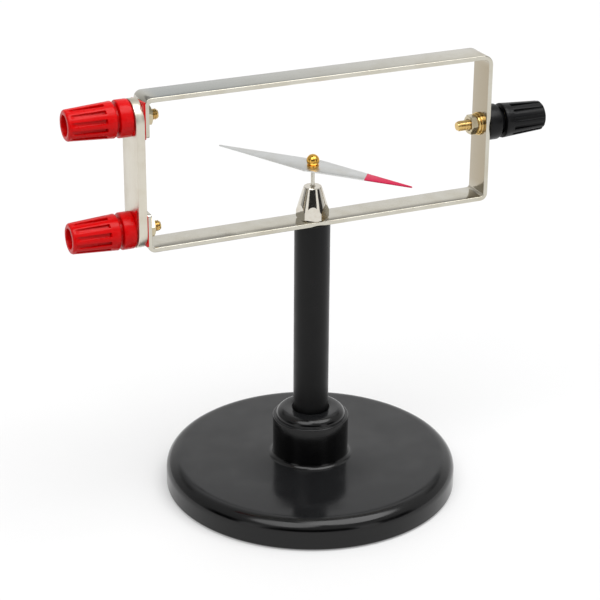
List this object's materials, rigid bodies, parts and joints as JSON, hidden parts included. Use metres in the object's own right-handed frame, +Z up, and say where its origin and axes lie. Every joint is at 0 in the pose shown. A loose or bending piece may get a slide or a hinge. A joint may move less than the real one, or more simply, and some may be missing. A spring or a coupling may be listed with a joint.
{
  "type": "oersted apparatus",
  "caption": "Bench apparatus: a magnetic needle pivots between the arms of a bent metal conductor with binding posts, on a round black stand.",
  "frame": {"origin": "on the table, in the middle of the round base, under the pillar's axis", "axes": "+Z up along the pillar, +X along the conductor's arms towards the single black post, +Y away from the side that the picture shows"},
  "size_m": [0.1686, 0.1, 0.1476],
  "materials": {
    "base_plastic": "moulded black plastic with a soft gloss",
    "pad_rubber": "black non-slip rubber",
    "pillar_paint": "satin black paint on a steel rod",
    "screw_steel": "zinc-plated steel",
    "strip_nickel": "nickel-plated strip, finely brushed along its length",
    "cap_nickel": "bright nickel-plated brass, turned and milled",
    "pin_steel": "ground steel",
    "needle_steel": "bright magnetised steel; one end is painted magenta",
    "hub_brass": "polished turned brass",
    "jewel_glass": "ruby-coloured glass cup",
    "post_brass": "turned brass",
    "red_plastic": "moulded red plastic",
    "black_plastic": "moulded black plastic"
  },
  "bodies": {
    "stand": {"base": "base_plastic", "base_pad": "pad_rubber", "pillar": "pillar_paint", "pillar_screw": "screw_steel", "pillar_washer": "screw_steel", "clamp_stud": "screw_steel", "frame_strip": "strip_nickel", "tie_strip": "strip_nickel", "pivot_cap": "cap_nickel", "pivot_pin": "pin_steel", "upper_post": "post_brass", "lower_post": "post_brass", "right_post": "post_brass", "upper_nut": "post_brass", "lower_nut": "post_brass", "right_nut": "post_brass", "right_flat_washer": "post_brass", "right_spring_washer": "post_brass", "upper_collar": "red_plastic", "lower_collar": "red_plastic", "upper_front_insulator": "red_plastic", "lower_front_insulator": "red_plastic", "upper_rear_insulator": "red_plastic", "lower_rear_insulator": "red_plastic", "right_collar": "black_plastic"},
    "needle": {"needle_blade": "needle_steel", "needle_hub": "hub_brass", "needle_jewel": "jewel_glass"},
    "upper_insert": {"upper_knob_insert": "post_brass"},
    "upper_grip": {"upper_knob": "red_plastic"},
    "lower_insert": {"lower_knob_insert": "post_brass"},
    "lower_grip": {"lower_knob": "red_plastic"},
    "right_insert": {"right_knob_insert": "post_brass"},
    "right_grip": {"right_knob": "black_plastic"}
  },
  "joints": [
    {"name": "needle_swing", "type": "hinge", "parent": "stand", "child": "needle", "pos_m": [0, 0, 0.1161], "axis": [0, 0, 1], "continuous": true},
    {"name": "upper_knob_travel", "type": "slide", "parent": "stand", "child": "upper_insert", "axis": [-1, 0, 0], "range_m": [-0.001, 0.0034]},
    {"name": "upper_knob_turn", "type": "hinge", "parent": "upper_insert", "child": "upper_grip", "pos_m": [-0.0748, 0, 0.14065], "axis": [-1, 0, 0], "range_deg": [-361, 1225]},
    {"name": "lower_knob_travel", "type": "slide", "parent": "stand", "child": "lower_insert", "axis": [-1, 0, 0], "range_m": [-0.001, 0.0034]},
    {"name": "lower_knob_turn", "type": "hinge", "parent": "lower_insert", "child": "lower_grip", "pos_m": [-0.0748, 0, 0.10335], "axis": [-1, 0, 0], "range_deg": [-361, 1225]},
    {"name": "right_knob_travel", "type": "slide", "parent": "stand", "child": "right_insert", "axis": [1, 0, 0], "range_m": [-0.0018, 0.0026]},
    {"name": "right_knob_turn", "type": "hinge", "parent": "right_insert", "child": "right_grip", "pos_m": [0.0749, 0, 0.1224], "axis": [1, 0, 0], "range_deg": [-649, 937]}
  ],
  "couplings": [
    {"joint": "upper_knob_turn", "follows": "upper_knob_travel", "rad_per_m": 6283.2},
    {"joint": "lower_knob_turn", "follows": "lower_knob_travel", "rad_per_m": 6283.2},
    {"joint": "right_knob_turn", "follows": "right_knob_travel", "rad_per_m": 6283.2}
  ]
}
